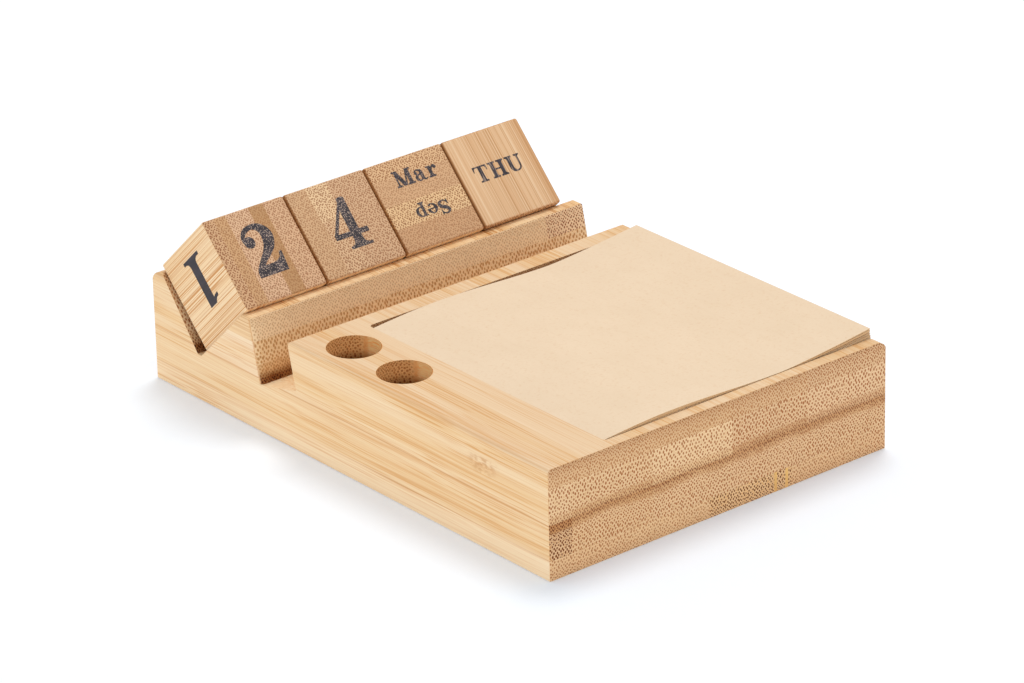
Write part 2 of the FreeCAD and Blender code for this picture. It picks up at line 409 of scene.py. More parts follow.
def bamboo(name, fibre, across, deep, strips, **changes):
    """A laminated bamboo finish. fibre, across and deep are unit vectors.

    strips are (start in mm, colour across the fibre, strength of the dots) along the
    lane. changes are what differs from board_look.
    """
    wood, look = Finish(name), SimpleNamespace(**{**board_look, **changes})
    at = place_in(wood, look, fibre, across, deep)
    cut, spot = end_grain(wood, look, at, strips)
    sawn, thin = sawn_face(wood, look, at)
    end = at.cut.ease(0.48, 0.66)
    arris = at.cut.ease(0.3, 0.48) * (1 - end)
    colour = wood.mix(end, wood.mix(arris * 0.6, sawn, paint(214, 152, 94)), cut)
    # Inside the pen holes: the drill's brown, with painted shade that deepens down the hole and painted
    # light on the rim and the upper wall.
    for x, y, radius in look.burnt:
        east, north, height = (at.place.along(Vector(axis) / MM) for axis in (X, Y, Z))
        depth = platform_top - height
        hole_brown_and_shade = wood.mix(depth.ease(2.4, 5.4), (1.3, 1.16, 0.88, 1), (0.42, 0.27, 0.13, 1))
        reach = wood.length(wood.vector(east - x, north - y))
        colour = wood.mix(1 - reach.ease(radius, radius + 0.08), colour, hole_brown_and_shade, "MULTIPLY")
    # Painted shade along the cube edges that face a gap to the next cube.
    for rim in look.rims:
        near = abs(at.a - rim).ease(0.55, 0.1)
        colour = wood.mix(near, colour, (0.5, 0.34, 0.2, 1), "MULTIPLY")
    relief = spot * end * -0.5 + thin * (1 - end) * 0.5
    return wood.surface(
        Base_Color=colour,
        Roughness=spot * 0.1 + (thin - 0.5) * 0.12 + 0.55,
        Normal=wood.bump(relief, 0.00005),
        Specular_IOR_Level=0.15,
    )

# %% [markdown]
# ## The block's plies
#
# The block is glued from four layers. Each is a row of strips about 21.7 mm wide, and
# the two core layers lie with their dense outsides together, which draws the dark
# line round the block at half its height. One material for the whole block would
# need that layout inside it. A material for each layer keeps the layout in a few
# numbers, so each layer gets its own.

# %% Finishes for the plies
left_mm, front_mm = cad_box[0][0] / MM, cad_box[0][1] / MM
glue_1, glue_2, glue_3 = 4.5, 12.5, 20.5        # heights of the glue lines
dark_line = 12.3                                # where the two cores' outsides meet
# Painted shade low in the slot and in the groove, darker towards the bottom: from and to, back and up.
slot_bottom_shade_spans = [
    (front_mm + 83, front_mm + 99, 12.4, 14.2), (front_mm + 112, front_mm + 122, 11.5, 15.0),
]
pen_holes = [
    (mount["pos_m"][0] / MM, mount["pos_m"][1] / MM, mount["dims"]["r_mm"])
    for mount in frame["record"]["mounts"] if mount["kind"] == "bore"
]


def lanes(*values):
    """Strips as (start from the block's left side, colour, strength of the dots)."""
    return [(left_mm - 5, *values[0][1:])] + [(left_mm + start, *rest) for start, *rest in values]


print("pen holes at", [[round(x, 1) for x in hole] for hole in pen_holes])

# %% The four plies
dense, sliver = (216, 164, 102), (238, 192, 118)    # a dark strip, and two pale ones in it
ply_finishes = {
    "top_ply": bamboo(
        "bamboo_top", Y, X, Z,
        lanes((0, (214, 169, 120), 0.66), (27.4, (212, 167, 118), 0.6),
              (49.1, (211, 166, 118), 0.66), (70.6, (209, 164, 118), 0.78)),
        outer=25.2, inner=glue_3, fade=2.0, pitch=(0.8, 1.25), dot=0.31,
        band=0.6, band_colour=(178, 124, 76), sway_by=0.0, lines_by=0.9, crisp=0.4,
        skin=(0.905, 0.9, 0.93), burnt=pen_holes,
    ),
    "upper_core": bamboo(
        "bamboo_upper_core", Y, X, Z,
        lanes((0, (226, 186, 138), 0.88), (5.7, (219, 177, 128), 0.88),
              (27.4, (232, 194, 146), 0.88), (49.1, (210, 165, 118), 0.89),
              (70.6, (221, 179, 134), 0.88)),
        outer=dark_line, inner=glue_3, fade=60.0, pitch=(0.95, 1.6), crowd_from=0.32, band=0.6,
        seams=(glue_2, glue_3), burnt=pen_holes,
        knots=((left_mm, front_mm + 21.0, 19.0),),
    ),
    "lower_core": bamboo(
        "bamboo_lower_core", Y, X, Z,
        lanes((0, (194, 140, 88), 1.0), (5.7, (216, 172, 122), 0.86),
              (27.4, (218, 176, 128), 0.89), (49.1, (217, 174, 127), 0.86),
              (70.6, (214, 170, 122), 0.89)),
        outer=dark_line, inner=glue_1, fade=52.0, pitch=(0.86, 1.35), crowd_from=0.27, band=0.6,
        dark_dot=(104, 48, 18), cream=(247, 218, 176), warm=(242, 206, 156),
        seams=(glue_1, glue_2), burnt=pen_holes, singed=slot_bottom_shade_spans,
    ),
    "bottom_ply": bamboo(
        "bamboo_bottom", Y, X, Z,
        lanes((0, (222, 179, 130), 0.75), (21.0, (225, 184, 135), 0.72),
              (43.3, dense, 1.0), (61.2, sliver, 0.0), (61.6, dense, 1.0),
              (64.2, sliver, 0.0), (64.6, dense, 1.0), (66.0, (220, 176, 127), 0.78),
              (88.7, (216, 170, 121), 0.85)),
        outer=0.0, inner=glue_1, fade=2.0, pitch=(0.85, 1.3), band=0.3, sway_by=0.0,
        seams=(glue_1,), dark_dot=(96, 44, 16), cream=(252, 228, 192), warm=(249, 219, 178),
    ),
}
print("drawn:", ", ".join(finish.name for finish in ply_finishes.values()))

# %% The rail's own plies, and every ply dressed
# The rail stands in shade behind the platform and under the cubes, so its plies are lighter copies of
# the plies below: painted light on its end grain. The long grain of its top ply is darker, as painted
# shade.
ply_finishes |= {
    "top_ply_rail": bamboo(
        "bamboo_rail_top_light_and_shade", Y, X, Z,
        lanes((0, (247, 215, 172), 0.55), (82.5, (240, 204, 164), 1.0)),
        outer=25.9, inner=glue_3, fade=2.0, pitch=(0.8, 1.15), dot=0.31,
        band=0.2, band_colour=(200, 146, 92), sway_by=0.0,
        dot_colour=(176, 124, 72), dark_dot=(146, 82, 46), lines_by=1.0,
        cream=(244, 210, 164), warm=(234, 190, 134), amber=(192, 128, 66),
    ),
    "upper_core_rail": bamboo(
        "bamboo_rail_core_lightened", Y, X, Z,
        lanes((0, (238, 200, 148), 0.82), (27.4, (244, 208, 158), 0.85),
              (70.6, (238, 200, 152), 0.88)),
        outer=12.9, inner=glue_3, fade=4.0, pitch=(0.95, 1.6), crowd_from=0.4, band=0.4,
        seams=(glue_2, glue_3), dot=0.34, dot_colour=(182, 126, 72), dark_dot=(168, 112, 60),
        singed=slot_bottom_shade_spans, cream=(251, 227, 194), warm=(247, 215, 172),
    ),
}


def wear(node, material):
    """Gives a solid of the frame its finish."""
    nodes[node].data.materials.clear()
    nodes[node].data.materials.append(material)


for ply, material in ply_finishes.items():
    for node in nodes:
        if node.startswith(ply):
            wear(node, material)
print("plies dressed:", sorted(n for n in nodes if "ply" in n or "core" in n))

# %% [markdown]
# ## The cubes
#
# Each cube is cut from the same kind of board and lies on its edge in a V groove. On
# three of them the fibre runs into the face that shows the date, so the face is all
# dots. On the fourth it runs up the face, so the face is all streaks.
#
# The cubes lean, so their fibre doesn't follow X, Y or Z. Two directions describe
# them: down the groove's wall, and up the dated face. They are built once here and
# also place the printing later.

# %% Where the cubes are
cube_lean = math.radians(44)
into_cube = Vector((0, math.cos(cube_lean), -math.sin(cube_lean)))
up_face = Vector((0, math.sin(cube_lean), math.cos(cube_lean)))
first_low, first_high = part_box("tens_cube")
cube_edge = (first_high.x - first_low.x) / MM


def cube_middle(node):
    low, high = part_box(node)
    return (low + high) / 2


print("a cube's edge is", round(cube_edge, 2), "mm")

# %% Dress the cubes
cube_look = dict(
    outer=100.0, inner=0.0, band=0.0, sway_by=0.0, pitch=(0.73, 1.04), dot=0.34, spread=0.6,
    dot_colour=(152, 98, 64), dark_dot=(118, 64, 38), halo=0.35,
    lines_by=0.5, crisp=0.95, drift_by=0.4,
    cream=(250, 222, 182), warm=(244, 209, 162), amber=(208, 146, 84),
)


def cube_finish(
    node, *strips, lane="across", fibre=into_cube, deep=up_face, rims=(-1, 1), **changes
):
    """A cube's bamboo. Its strips start from its own side. Its sides beside a gap, -1 for the left and
    1 for the right, are darkened with painted shade.
    """
    middle, half = cube_middle(node) / MM, cube_edge / 2
    start = middle.dot(Vector(X) if lane == "across" else deep) - half
    first = (start - 5, *strips[0][1:])
    return bamboo(
        "bamboo_" + node, fibre, X, deep, [first] + [(start + s, *rest) for s, *rest in strips],
        lane=lane, rims=[middle.x + side * half for side in rims], **(cube_look | changes),
    )


x, y = cube_middle("units_cube").x / MM, cube_middle("units_cube").dot(up_face) / MM
yellow_strip = (x - 5.3, x + 0.5, y + 2.0, y + 12.0, (240, 204, 160))
cube_finishes = {
    "tens_cube": cube_finish(
        "tens_cube", (0, (208, 162, 120), 0.92), (2.8, (206, 160, 114), 0.6),
        (5.5, (224, 182, 146), 0.75), (11.5, (190, 144, 98), 0.4), (16.0, (220, 176, 138), 0.74),
        rims=[1],
    ),
    "units_cube": cube_finish(
        "units_cube", (0, (214, 172, 130), 0.6), (5.6, (222, 182, 142), 0.88),
        (11.4, (214, 172, 134), 0.76), patches=[yellow_strip],
    ),
    "month_cube": cube_finish(
        "month_cube", (0, (208, 162, 120), 0.5), (5.5, (236, 196, 146), 0.9),
        (11.2, (216, 172, 130), 0.5), (16.9, (226, 182, 136), 0.9), lane="deep",
    ),
    "weekday_cube": cube_finish(
        "weekday_cube", (0, (212, 168, 124), 0.8), fibre=up_face, deep=into_cube, rims=[-1],
        lines_by=0.7, crisp=0.6, cream=(229, 189, 147), warm=(219, 175, 131), amber=(196, 144, 94),
    ),
}
for node, material in cube_finishes.items():
    wear(node, material)
print("cubes dressed:", sorted(cube_finishes))

# %% [markdown]
# ## Memo paper
#
# The pad is about a hundred loose sheets of kraft paper. They have bowed in the
# damp: a low crest near the left edge, a trough, then a curl at the open right edge.
# The four top sheets curl more than the rest and can be taken off one by one.
#
# The frame holds the pad as one solid. Painting lines on its sides would look flat
# from close by. Sheets are cheap, so each gets its own thin mesh, and small shifts
# make the pad's edge look stacked by hand.

# %% The wave in a sheet
CREST, TROUGH = 0.25, 0.66          # where it is high and low, as shares of the sheet's width
START_RISE, CREST_RISE, TROUGH_RISE = 0.1, 1.1, 0.2


def wave_rise(share, curl):
    """How far a sheet rises over its flat part at a share of its width. It ends at curl."""
    if share < CREST:
        return START_RISE + (CREST_RISE - START_RISE) * math.sin(math.pi / 2 * share / CREST)
    if share < TROUGH:
        middle, swing = (CREST_RISE + TROUGH_RISE) / 2, (CREST_RISE - TROUGH_RISE) / 2
        return middle + swing * math.cos(math.pi * (share - CREST) / (TROUGH - CREST))
    return TROUGH_RISE + (curl - TROUGH_RISE) * ((share - TROUGH) / (1 - TROUGH)) ** 1.3


print("from left to right a sheet rises", [round(wave_rise(s / 4, 1.85), 2) for s in range(5)])


# %% Paper, sheet by sheet


def paper_mesh(name, sheets, wide, long):
    """One mesh of thin sheets. Each sheet is (x, y, turn, base, thickness, bow, curl)."""
    columns, rows = 32, 6
    step, layer = columns + 1, (columns + 1) * (rows + 1)
    vertices, faces = [], []
    for x, y, turn, base, thickness, bow, curl in sheets:
        first = len(vertices)
        for top in (0, 1):
            for j in range(rows + 1):
                for i in range(columns + 1):
                    u, v = i / columns, j / rows
                    dx, dy = (u - 0.5) * wide, (v - 0.5) * long
                    z = base + top * thickness + bow * wave_rise(u, curl)
                    vertices.append((
                        (x + (u * wide) - dy * turn) * MM,
                        (y + (v * long) + dx * turn) * MM,
                        z * MM,
                    ))
        for j in range(rows):
            for i in range(columns):
                a = first + j * step + i
                b = a + layer
                faces.append((a, a + step, a + step + 1, a + 1))
                faces.append((b, b + 1, b + step + 1, b + step))
        rim = list(range(columns))
        rim += [columns + j * step for j in range(rows)]
        rim += [rows * step + columns - i for i in range(columns)]
        rim += [(rows - j) * step for j in range(rows)]
        for here, there in zip(rim, rim[1:] + rim[:1]):
            faces.append((first + here, first + there, first + there + layer, first + here + layer))
    mesh = bpy.data.meshes.new(name)
    mesh.from_pydata(vertices, [], faces)
    mesh.validate()
    return mesh


def piece(name, mesh, body, material, replaces=()):
    """Adds a piece that rides on a body, wears a slot's material and may stand for solids."""
    made = bpy.data.objects.new(name, mesh)
    bpy.context.scene.collection.objects.link(made)
    mesh.materials.append(material)
    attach(made, body)
    if replaces:
        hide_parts(*replaces)


# %% The paper's finish
def kraft(name):
    paper = Finish(name)
    place = paper.node("TexCoord", output="Object")
    fine = paper.node("TexNoise", None, {"Vector": place, "Scale": 1400.0, "Detail": 3.0})
    soft = paper.node("TexNoise", None, {"Vector": place, "Scale": 90.0, "Detail": 2.0})
    fibres = paper.noise(paper.vector(place.along((700, 0, 0)), place.along((0, 150, 0))))
    # Painted shade: faces that turn sideways, the sheets' sides, get a browner colour than the tops.
    edge = 1 - abs(paper.node("TexCoord", output="Normal").along(Z)).ease(0.3, 0.7)
    colour = paper.mix(soft, paint(236, 212, 182), paint(229, 204, 173))
    colour = paper.mix(fibres.ease(0.45, 0.75) * 0.15, colour, paint(222, 194, 160))
    colour = paper.mix(edge, colour, paint(226, 190, 144))
    colour = paper.mix(fine.ease(0.5, 0.8) * 0.5, colour, paint(222, 188, 150))
    return paper.surface(Base_Color=colour, Roughness=0.85, Normal=paper.bump(fine, 0.00002))


memo_finish = kraft("kraft_paper")
print("the pad wears", memo_finish.name)

# %% Lay the pad
draw = random.Random(7)
pushed = Vector((0.2, 0.45, 0))     # the pad lies this far towards the left and the front
pad_low, pad_high = [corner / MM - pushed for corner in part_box("memo_stack")]
sheet_wide, sheet_long = pad_high.x - pad_low.x, pad_high.y - pad_low.y
pad_sheets, pad_flat, pad_curl = 95, 11.35, 1.85
pitch = pad_flat / pad_sheets
pad = []
for number in range(pad_sheets):
    share = (number + 1) / pad_sheets
    shift = [draw.uniform(-0.12, 0.12) for _ in range(2)]
    pad.append((
        pad_low.x + shift[0], pad_low.y + shift[1], draw.uniform(-0.0015, 0.0015),
        pad_low.z + number * pitch, pitch * 0.96, share ** 1.5, pad_curl,
    ))
piece(
    "memo_pad", paper_mesh("memo_pad", pad, sheet_wide, sheet_long), "memo_stack",
    memo_finish, ["memo_stack"],
)
print(pad_sheets, "sheets in the pad, pitch", round(pitch, 3), "mm")

# %% Lay the loose sheets
loose_count, loose_pitch, loose_thick = 4, 0.25, 0.21
more_curl = 0.15                    # each loose sheet curls this much more than the one below
for number in range(1, loose_count + 1):
    base = pad_low.z + pad_flat + (number - 1) * loose_pitch + 0.02
    sheet = (
        pad_low.x + draw.uniform(-0.15, 0.15), pad_low.y + draw.uniform(0.0, 0.2),
        draw.uniform(-0.002, 0.002), base, loose_thick, 1.0, pad_curl + more_curl * number,
    )
    node = f"memo_sheet_{number}"
    mesh = paper_mesh(node, [sheet], sheet_wide, sheet_long)
    piece(f"loose_{node}", mesh, node, memo_finish, [node])
print(loose_count, "loose sheets, the highest from", round(base, 2), "mm up")

# %% [markdown]
# ## Letters, drawn with a broad brush
#
# The cubes are printed in a bold slab serif of the old poster kind: heavy uprights,
# thin joins, flat feet with small curves into them, and round drops at the ends of
# curves. Blender's own text object has one plain letterform without feet, and a font
# file would be one more thing to carry. So the letters are drawn here the way a
# sign painter builds them: uprights, feet, bowls and drops, all overlapping freely.
# A capital and a digit are 100 units high.

# %% Parts of letters
THIN = 9        # joins and feet, in hundredths of a capital's height
HEAVY = 24      # an upright


def block(x0, x1, y0, y1):
    return [[(x0, y0), (x1, y0), (x1, y1), (x0, y1)]]


def leg(x0, y0, x1, y1, width):
    """A straight limb whose two ends are level."""
    half = width / 2
    return [[(x0 - half, y0), (x0 + half, y0), (x1 + half, y1), (x1 - half, y1)]]


def stem(x, low, high, width=HEAVY):
    return leg(x, low, x, high, width)


def foot(x, y, left, right, width=HEAVY, way=1, thick=THIN):
    """A flat foot at y, with a small curve up to the stem. way is -1 for one at the top."""
    ledge, neck, half = y + way * thick, y + way * (thick + 9), width / 2
    parts = block(x - left, x + right, *sorted((y, ledge)))
    for side, reach in ((-1, left), (1, right)):
        if reach > half:
            stem_side = x + side * half
            parts.append([
                (stem_side + side * 2.5, ledge + way * 3), (stem_side + side * 9, ledge),
                (stem_side, ledge), (stem_side, neck),
            ])
    return parts


def bowl(x, y, wide, high, side, top, start=0, end=360):
    """A round band. It is side thick at left and right, and top thick at top and bottom."""
    steps = max(8, round(abs(end - start) / 7))
    edges = []
    for i in range(steps + 1):
        turn = math.radians(start + (end - start) * i / steps)
        c, s = math.cos(turn), math.sin(turn)
        edges.append(((x + wide * c, y + high * s), (x + (wide - side) * c, y + (high - top) * s)))
    return [[b, a, c, d] for (a, b), (c, d) in zip(edges, edges[1:])]


def drop(x, y, radius):
    turns = [math.radians(a) for a in range(0, 360, 15)]
    return [[(x + radius * math.cos(a), y + radius * math.sin(a)) for a in turns]]


def between(t, p, q, r, s):
    """A smooth value between q and r, at a share t of the way. p and s are their neighbours."""
    bend, twist = 2 * p - 5 * q + 4 * r - s, 3 * (q - r) - p + s
    return (2 * q + (r - p) * t + bend * t ** 2 + twist * t ** 3) / 2


def brush(*points):
    """A smooth run through (x, y, width) points."""
    ends = [points[0], *points, points[-1]]
    line = []
    for a, b, c, d in zip(ends, ends[1:], ends[2:], ends[3:]):
        for t in (k / 7 for k in range(7)):
            line.append([between(t, *values) for values in zip(a, b, c, d)])
    line.append(points[-1])
    sides = []
    for i, (x, y, width) in enumerate(line):
        x0, y0, _ = line[max(i - 1, 0)]
        x1, y1, _ = line[min(i + 1, len(line) - 1)]
        scale = width / 2 / math.hypot(x1 - x0, y1 - y0)
        dx, dy = (y0 - y1) * scale, (x1 - x0) * scale
        sides.append(((x + dx, y + dy), (x - dx, y - dy)))
    return [[b, d, c, a] for (a, b), (c, d) in zip(sides, sides[1:])]


def shape(*corners):
    return [list(corners)]


# %% Digits, centred on 0
digits = {
    "0": bowl(0, 50, 35, 51, 25, 8),
    "1": stem(-3, 0, 98) + foot(-3, 0, 30, 29, thick=6.5)
    + shape((-15, 99), (-17, 95), (-22, 91), (-31, 88.5), (-31, 82.5), (-20, 84), (-14, 87)),
    "2": drop(-20, 69, 11.5)
    + brush((-29, 71, 7), (-28, 82, 8), (-19, 92, 9.5), (-3, 96, 10), (12, 90, 17), (20, 75, 24),
            (16, 57, 22), (4, 42, 16), (-12, 28, 12), (-25, 13, 12), (-29, 3, 8))
    + shape((-33, 0), (30, 0), (33, 38), (27, 38), (24, 28), (17, 23), (7, 20.5), (-18, 20.5),
            (-33, 10)),
    "3": drop(-22, 76, 11)
    + brush((-30, 82, 6), (-22, 92, 9), (-4, 96, 9), (12, 90, 18), (18, 76, 23), (12, 62, 17),
            (-4, 54, 8), (-10, 54, 8))
    + brush((-4, 54, 8), (14, 49, 17), (23, 30, 25), (16, 12, 19), (-4, 4, 9), (-22, 8, 9),
            (-32, 20, 6))
    + drop(-24, 22, 11.5),
    "4": shape((5.5, 100), (17, 101.5), (22, 99), (21, 0), (1, 0), (1, 72))
    + shape((9, 99), (-33, 34), (-33, 26), (-30, 26), (2, 77)) + block(-34, 40, 24, 34)
    + foot(11, 0, 23, 26, 20, thick=5.5),
    "5": shape((-22, 100), (22, 96), (26, 78), (-22, 84)) + block(-27, -19, 48, 98)
    + brush((-24, 50, 6), (-10, 61, 9), (4, 62, 12), (19, 50, 22), (23, 32, 25), (17, 13, 20),
            (-4, 4, 9), (-22, 9, 9), (-31, 20, 6)) + drop(-23, 23, 11.5),
    "6": drop(21, 80, 10.5)
    + brush((29, 84, 6), (20, 93, 9), (4, 96, 10), (-12, 86, 17), (-22, 64, 24), (-20, 40, 24))
    + bowl(2, 31, 33, 32, 24, 8),
    "7": shape((-30, 100), (-31, 70), (-25, 70), (-22, 79), (28, 79), (31, 92), (31, 100))
    + brush((26, 90, 10), (12, 58, 15), (1, 32, 23), (-2, 12, 26), (-2, 0, 26)),
    "8": bowl(0, 74, 27, 26, 19, 7.5) + bowl(0, 27, 33, 28.5, 23, 8)
    + brush((-18, 62, 10), (0, 51, 13), (19, 40, 12)),
}
print(len(digits), "digits drawn")

# %% Capitals
capitals = {
    "A": leg(14, 0, 50, 100, 10) + leg(86, 0, 48, 100, 26) + block(26, 76, 27, 36)
    + block(-2, 31, 0, 9) + block(62, 108, 0, 9),
    "D": stem(26, 0, 100) + block(2, 50, 0, 9) + block(2, 50, 91, 100)
    + bowl(46, 50, 50, 50, 25, 9, -90, 90),
    "E": stem(26, 0, 100) + block(2, 82, 91, 100) + block(2, 86, 0, 9) + block(26, 62, 47, 56)
    + shape((72, 91), (84, 91), (84, 68), (80, 68), (77, 80))
    + shape((74, 9), (80, 22), (84, 34), (88, 34), (88, 0), (74, 0))
    + shape((54, 51.5), (60, 60), (62, 68), (66, 68), (66, 35), (62, 35), (60, 43)),
    "F": stem(26, 0, 100) + block(2, 82, 91, 100) + foot(26, 0, 24, 28) + block(26, 62, 46, 55)
    + shape((72, 91), (84, 91), (84, 68), (80, 68), (77, 80))
    + shape((54, 50.5), (60, 59), (62, 67), (66, 67), (66, 34), (62, 34), (60, 42)),
    "H": stem(26, 0, 100) + stem(84, 0, 100) + block(26, 84, 46, 56)
    + foot(26, 0, 24, 24) + foot(84, 0, 24, 24)
    + foot(26, 100, 24, 24, way=-1) + foot(84, 100, 24, 24, way=-1),
    "I": stem(26, 0, 100) + foot(26, 0, 24, 24) + foot(26, 100, 24, 24, way=-1),
    "J": stem(48, 26, 100) + foot(48, 100, 24, 22, way=-1)
    + brush((48, 32, 24), (47, 14, 21), (34, 3, 11), (18, 5, 9), (8, 14, 6)) + drop(14, 20, 11.5),
    "M": stem(22, 0, 100, 10) + stem(102, 0, 100) + leg(24, 100, 62, 2, 26)
    + leg(66, 2, 98, 100, 10) + foot(22, 0, 18, 18, 10) + foot(102, 0, 24, 24)
    + block(4, 34, 91, 100) + block(92, 126, 91, 100),
    "N": stem(22, 0, 100, 10) + stem(90, 0, 100, 10) + leg(24, 100, 84, 0, 27)
    + foot(22, 0, 18, 18, 10) + block(4, 32, 91, 100) + foot(90, 100, 18, 18, 10, way=-1),
    "O": bowl(50, 50, 47, 52, 26, 9),
    "R": stem(26, 0, 100) + foot(26, 0, 24, 24) + block(2, 52, 91, 100) + block(26, 54, 44, 53)
    + bowl(50, 72, 38, 28, 25, 9, -90, 90)
    + brush((48, 49, 9), (66, 44, 18), (74, 28, 24), (77, 14, 22), (87, 3, 11), (99, 9, 6)),
    "S": brush((73, 70, 7), (66, 88, 9), (44, 96, 10), (24, 86, 18), (20, 71, 24), (34, 57, 25),
               (54, 47, 26), (70, 34, 25), (70, 16, 21), (50, 4, 10), (28, 7, 9), (14, 29, 7))
    + shape((70, 66), (77, 66), (77, 101), (72, 101), (67, 90))
    + shape((10, 34), (17, 34), (20, 12), (15, -1), (10, -1)),
    "T": stem(48, 0, 100) + foot(48, 0, 26, 26) + block(2, 94, 91, 100)
    + shape((2, 91), (14, 91), (9, 80), (7, 66), (2, 66))
    + shape((94, 91), (82, 91), (87, 80), (89, 66), (94, 66)),
    "U": brush((26, 60, 24), (26, 30, 24), (34, 12, 19), (53, 4, 10), (74, 11, 9), (83, 28, 10),
               (84, 60, 10))
    + stem(26, 55, 100) + stem(84, 55, 100, 10) + foot(26, 100, 24, 22, way=-1)
    + foot(84, 100, 18, 18, 10, way=-1),
    "W": leg(18, 100, 44, 0, 26) + leg(44, 0, 66, 100, 10) + leg(62, 100, 90, 0, 26)
    + leg(90, 0, 114, 100, 10) + block(-2, 40, 91, 100) + block(46, 82, 91, 100)
    + block(98, 130, 91, 100),
}
print(len(capitals), "capitals drawn")

# %% Small letters
small = {
    "a": drop(19, 50, 9.5)
    + brush((12, 55, 5), (20, 65, 8), (36, 67, 9), (50, 59, 17), (53, 44, 21), (53, 18, 21),
            (60, 5, 13), (72, 3, 7), (80, 9, 5))
    + brush((52, 42, 8), (32, 38, 10), (17, 27, 18), (18, 13, 18), (30, 3, 9), (44, 7, 8),
            (53, 18, 8)),
    "b": stem(24, 0, 100, 21) + block(4, 24, 92, 100) + bowl(44, 34, 38, 37, 22, 8, -140, 140),
    "c": bowl(42, 34, 38, 37, 22, 8, 42, 322) + drop(64, 52, 9.5),
    "e": bowl(42, 34, 38, 37, 22, 8, 0, 318) + block(20, 78, 30, 38),
    "g": bowl(38, 46, 29, 25, 18, 8) + brush((54, 62, 7), (66, 70, 7)) + drop(72, 67, 7)
    + brush((24, 27, 8), (15, 19, 9), (22, 9, 14), (44, 6, 15), (64, 2, 15))
    + bowl(42, -12, 36, 18, 14, 8),
    "l": stem(26, 0, 100, 21) + block(6, 26, 92, 100) + foot(26, 0, 22, 22, 21),
    "n": stem(26, 0, 70, 21) + block(6, 26, 62, 70) + foot(26, 0, 20, 20, 21)
    + brush((34, 48, 8), (46, 62, 9), (58, 66, 13), (70, 58, 20), (72, 44, 21))
    + stem(72, 0, 46, 21) + foot(72, 0, 18, 20, 21),
    "o": bowl(42, 34, 38, 37, 22, 8),
    "p": stem(26, -32, 70, 21) + block(6, 26, 62, 70) + foot(26, -32, 20, 22, 21)
    + bowl(46, 34, 38, 37, 22, 8, -140, 140),
    "r": stem(26, 0, 70, 21) + block(6, 26, 62, 70) + foot(26, 0, 22, 24, 21)
    + brush((34, 44, 8), (42, 58, 9), (54, 67, 9), (64, 64, 8)) + drop(60, 57, 10.5),
    "t": stem(26, 18, 90, 20) + block(6, 54, 62, 70)
    + brush((26, 24, 20), (28, 10, 16), (40, 3, 9), (54, 9, 6)),
    "u": brush((26, 40, 21), (26, 22, 21), (31, 8, 16), (46, 3, 9), (60, 10, 8), (68, 24, 8))
    + stem(26, 38, 70, 21) + block(6, 26, 62, 70) + stem(74, 0, 70, 21) + block(54, 74, 62, 70)
    + block(74, 92, 0, 8),
    "v": leg(22, 70, 46, 0, 24) + leg(46, 0, 70, 70, 9) + block(2, 42, 62, 70) + block(56, 86, 62, 70),
    "y": leg(22, 70, 48, 2, 24) + leg(40, -22, 74, 70, 9) + block(2, 42, 62, 70) + block(60, 90, 62, 70)
    + brush((42, -16, 9), (34, -29, 9), (20, -31, 8)) + drop(17, -23, 9.5),
}
letters = {**digits, **capitals, **small}
print(len(letters), "letters drawn")

# %% [markdown]
# ## Printing the cubes
#
# Print is a thin film of dark ink. A picture of it mapped on the wood would blur from
# close by, and a material mask can't follow a letter's outline. The overlapping
# parts of each letter are merged into one flat outline instead, and the outline is
# raised by three hundredths of a millimetre, which is about what screen ink builds
# up. The merging is done by a triangulation that remembers which parts cover each
# triangle, so the holes of a 4 or an O stay open.
#
# Two cubes of digits can show every date from 01 to 31 if both carry 0, 1 and 2, and
# the 6 is turned over for the 9. Twelve months need six faces, so each face has two,
# one upside down. The seven weekdays share six faces in the same way.

# %% Set words and merge their outlines
def set_word(word, height, centre, gap=8.0, widen=1.0):
    """The parts of a word's letters. centre is the middle of the word's foot."""
    placed, cursor = [], 0.0
    for letter in word:
        xs = [x for part in letters[letter] for x, _ in part]
        shift = cursor - min(xs)
        placed += [[(x + shift, y) for x, y in part] for part in letters[letter]]
        cursor += max(xs) - min(xs) + gap
    middle, scale = (cursor - gap) / 2, height / 100
    return [
        [((x - middle) * scale * widen + centre[0], y * scale + centre[1]) for x, y in part]
        for part in placed
    ]


def turn_over(parts):
    return [[(-x, -y) for x, y in part] for part in parts]


def merged(parts):
    """Points and triangles of everything that the parts cover."""
    points, faces, halves = [], [], []
    for part in parts:
        halves += [part] if len(part) != 4 else [part[:3], [part[0], part[2], part[3]]]
    for part in halves:
        area = sum(a[0] * b[1] - b[0] * a[1] for a, b in zip(part, part[1:] + part[:1]))
        if abs(area) < 1e-7:
            continue
        ordered = part if area > 0 else part[::-1]
        faces.append(list(range(len(points), len(points) + len(part))))
        points += [Vector(p) for p in ordered]
    corners, _, triangles, _, _, covers = delaunay_2d_cdt(points, [], faces, 0, 1e-6)
    return corners, [t for t, cover in zip(triangles, covers) if cover]


print("a 4 is merged into", len(merged(digits["4"])[1]), "triangles")

# %% Raise a print on a face
FILM, ROOT = 0.03, 0.02     # how far the ink stands off the wood, and how far it goes in


def print_face(vertices, faces, parts, middle, normal, up):
    """Adds a raised print to a mesh, on the plane through middle."""
    right = up.cross(normal)
    corners, triangles = merged(parts)
    first, count = len(vertices), len(corners)
    for level in (FILM, -ROOT):
        vertices += [middle + (right * p.x + up * p.y + normal * level) * MM for p in corners]
    edges = {}
    for a, b, c in triangles:
        faces.append((first + a, first + b, first + c))
        faces.append((first + count + c, first + count + b, first + count + a))
        edges |= dict.fromkeys([(a, b), (b, c), (c, a)])
    for a, b in edges:
        if (b, a) not in edges:
            faces.append((first + b, first + a, first + count + a, first + count + b))


